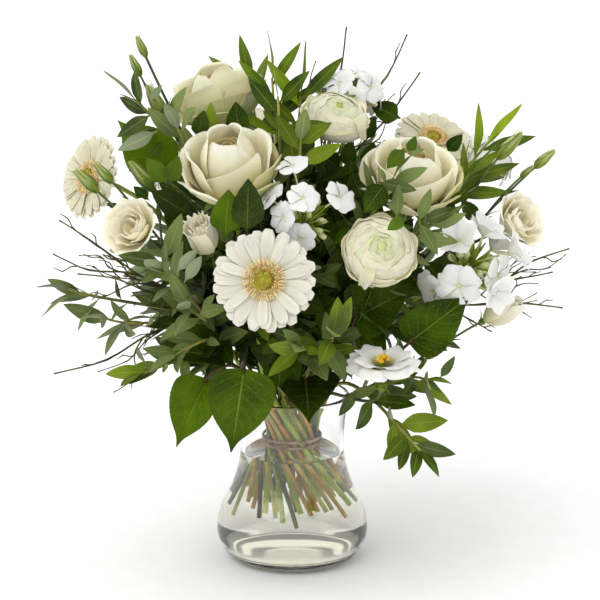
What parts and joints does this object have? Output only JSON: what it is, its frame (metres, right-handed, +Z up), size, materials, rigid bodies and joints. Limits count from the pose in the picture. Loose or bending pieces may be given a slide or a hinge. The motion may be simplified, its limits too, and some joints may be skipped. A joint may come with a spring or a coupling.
{
  "type": "floral table centerpiece",
  "caption": "Round hand-tied bouquet of cream roses, gerberas, ranunculus and white fillers with mixed foliage, standing in water in a clear glass vase with a round belly and a flared rim.",
  "frame": {"origin": "centre of the vase's flat foot, on the table", "axes": "+Z up along the vase, -Y towards the bouquet's front, +X to its right as seen from the front"},
  "size_m": [0.4699, 0.4144, 0.5002],
  "materials": {
    "glass": "clear, polished",
    "water": "clear water",
    "twine": "pale raffia, dry and fibrous",
    "rose_petal": "soft matte petal",
    "white_petal": "soft matte petal",
    "gerbera_disc": "fine matte florets",
    "ranunculus_petal": "silky petal",
    "lisianthus_petal": "silky petal",
    "phlox": "soft matte petal",
    "green_stem": "smooth green stem",
    "lisianthus_green": "waxy green stem and bud",
    "bright_leaf": "satin leaf",
    "eucalyptus": "dull waxy leaf",
    "salal": "glossy leathery leaf",
    "twig": "thin bark"
  },
  "bodies": {
    "root": {"vase": "glass", "water": "water", "twine": "twine", "rose_front_petals": "rose_petal", "rose_front_stem": "green_stem", "rose_top_petals": "rose_petal", "rose_top_stem": "green_stem", "rose_right_petals": "rose_petal", "rose_right_stem": "green_stem", "rose_rear_petals": "rose_petal", "rose_rear_stem": "green_stem", "gerbera_front_rays": "white_petal", "gerbera_front_disc": "gerbera_disc", "gerbera_front_stem": "green_stem", "gerbera_left_rays": "white_petal", "gerbera_left_disc": "gerbera_disc", "gerbera_left_stem": "green_stem", "gerbera_right_rays": "white_petal", "gerbera_right_disc": "gerbera_disc", "gerbera_right_stem": "green_stem", "ranunculus_front_petals": "ranunculus_petal", "ranunculus_front_stem": "green_stem", "ranunculus_top_petals": "ranunculus_petal", "ranunculus_top_stem": "green_stem", "ranunculus_rear_petals": "ranunculus_petal", "ranunculus_rear_stem": "green_stem", "lisianthus_left_petals": "lisianthus_petal", "lisianthus_half_petals": "lisianthus_petal", "lisianthus_right_petals": "lisianthus_petal", "lisianthus_low_petals": "lisianthus_petal", "lisianthus_bud_petals": "lisianthus_petal", "lisianthus_left_stem": "lisianthus_green", "lisianthus_right_stem": "lisianthus_green", "lisianthus_low_stem": "lisianthus_green", "lisianthus_tall_stem": "lisianthus_green", "phlox_centre": "phlox", "phlox_right": "phlox", "phlox_top": "phlox", "phlox_back": "phlox", "phlox_rear": "phlox", "pistachio_top": "bright_leaf", "pistachio_right": "bright_leaf", "eucalyptus_top": "eucalyptus", "eucalyptus_upper_left": "eucalyptus", "eucalyptus_left": "eucalyptus", "eucalyptus_lower_left": "eucalyptus", "eucalyptus_mid_left": "eucalyptus", "eucalyptus_lower_right": "eucalyptus", "eucalyptus_right": "eucalyptus", "eucalyptus_centre": "eucalyptus", "eucalyptus_rear_left": "eucalyptus", "eucalyptus_rear_right": "eucalyptus", "salal_lower_left": "salal", "salal_rim": "salal", "salal_right": "salal", "salal_upper_left": "salal", "salal_rear": "salal", "twigs_left": "twig", "twigs_right": "twig", "twigs_top": "twig"}
  },
  "joints": []
}
